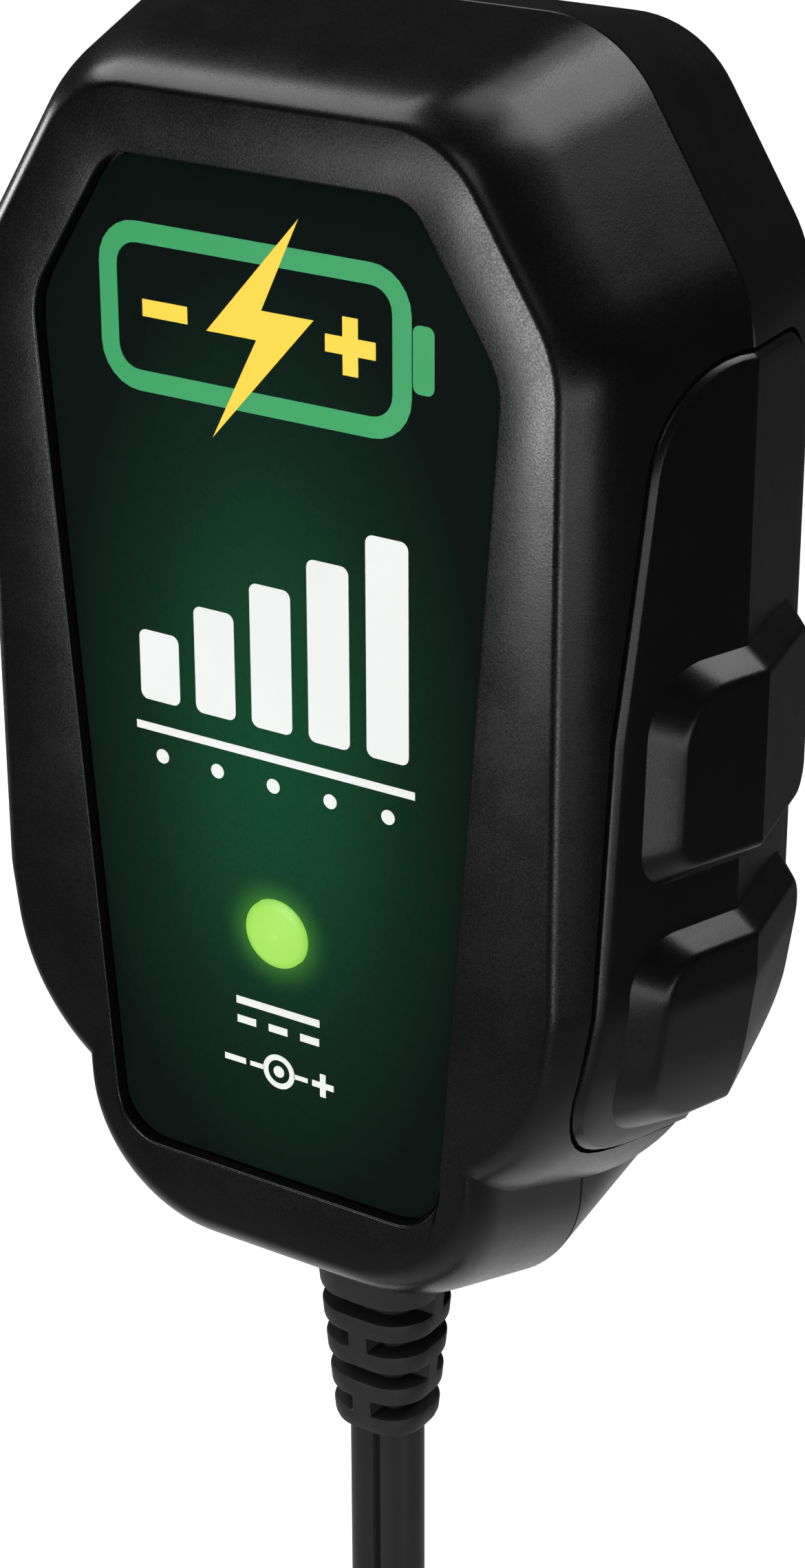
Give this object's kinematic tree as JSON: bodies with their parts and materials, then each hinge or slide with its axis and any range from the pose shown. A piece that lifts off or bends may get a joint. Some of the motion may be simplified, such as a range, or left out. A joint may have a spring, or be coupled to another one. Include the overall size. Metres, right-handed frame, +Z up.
{
  "type": "plug-in battery charger",
  "caption": "Plug-in battery charger: a waisted two-part case with side finger grips, a sunk front label with a lamp, wall blades and a coiled low-voltage lead.",
  "frame": {"origin": "middle of the wall face, level with the plug blades", "axes": "+X right as seen from the front, +Y back towards the wall and along the blades, +Z up"},
  "size_m": [0.0849, 0.0457, 0.2564],
  "materials": {
    "case_plastic": "fine satin texture",
    "grip_rubber": "soft satin",
    "label_film": "printed film, satin",
    "lamp_plastic": "translucent, lit",
    "plate_film": "bare film",
    "carrier_plastic": "moulded",
    "blade_brass": "nickel-washed, rolled",
    "screw_steel": "zinc plated",
    "board_laminate": "solder mask",
    "part_black": "moulded epoxy",
    "part_blue": "dipped coating",
    "part_yellow": "box and tape",
    "part_white": "ceramic and moulded",
    "part_tan": "dipped coating",
    "can_sleeve": "shrink sleeve",
    "ferrite": "sintered",
    "copper_winding": "enamelled",
    "sink_aluminium": "mill",
    "lead_black": "extruded",
    "lead_white": "extruded",
    "lead_red": "extruded",
    "cord_vinyl": "extruded, satin",
    "relief_vinyl": "moulded",
    "tie_strap": "woven hook and loop",
    "connector_vinyl": "moulded",
    "contact_metal": "plated"
  },
  "bodies": {
    "root": {"front_housing": "case_plastic", "rear_housing": "case_plastic", "front_label": "label_film", "rating_plate": "plate_film", "lamp_lens": "lamp_plastic", "status_led": "lamp_plastic", "side_grip_left": "grip_rubber", "side_grip_right": "grip_rubber", "blade_carrier": "carrier_plastic", "line_blade": "blade_brass", "neutral_blade": "blade_brass", "housing_screws": "screw_steel", "circuit_board": "board_laminate", "fuse": "part_white", "varistor": "part_blue", "filter_capacitor": "part_yellow", "filter_choke": "copper_winding", "bridge_rectifier": "part_black", "bulk_capacitor": "can_sleeve", "transformer_core": "ferrite", "transformer_bobbin": "part_black", "transformer_winding": "part_yellow", "switch_transistor": "part_black", "transistor_heat_sink": "sink_aluminium", "controller_chip": "part_black", "bridging_capacitor": "part_blue", "output_rectifier": "part_black", "rectifier_heat_sink": "sink_aluminium", "output_capacitors": "can_sleeve", "optocoupler": "part_white", "resistors": "part_tan", "line_lead": "lead_black", "neutral_lead": "lead_white", "positive_lead": "lead_red", "negative_lead": "lead_black", "strain_relief": "relief_vinyl", "output_cord": "cord_vinyl", "cord_coil": "cord_vinyl", "cord_tail": "cord_vinyl", "cord_tie": "tie_strap", "connector_shell": "connector_vinyl", "connector_pin": "contact_metal", "connector_socket": "contact_metal"}
  },
  "joints": []
}
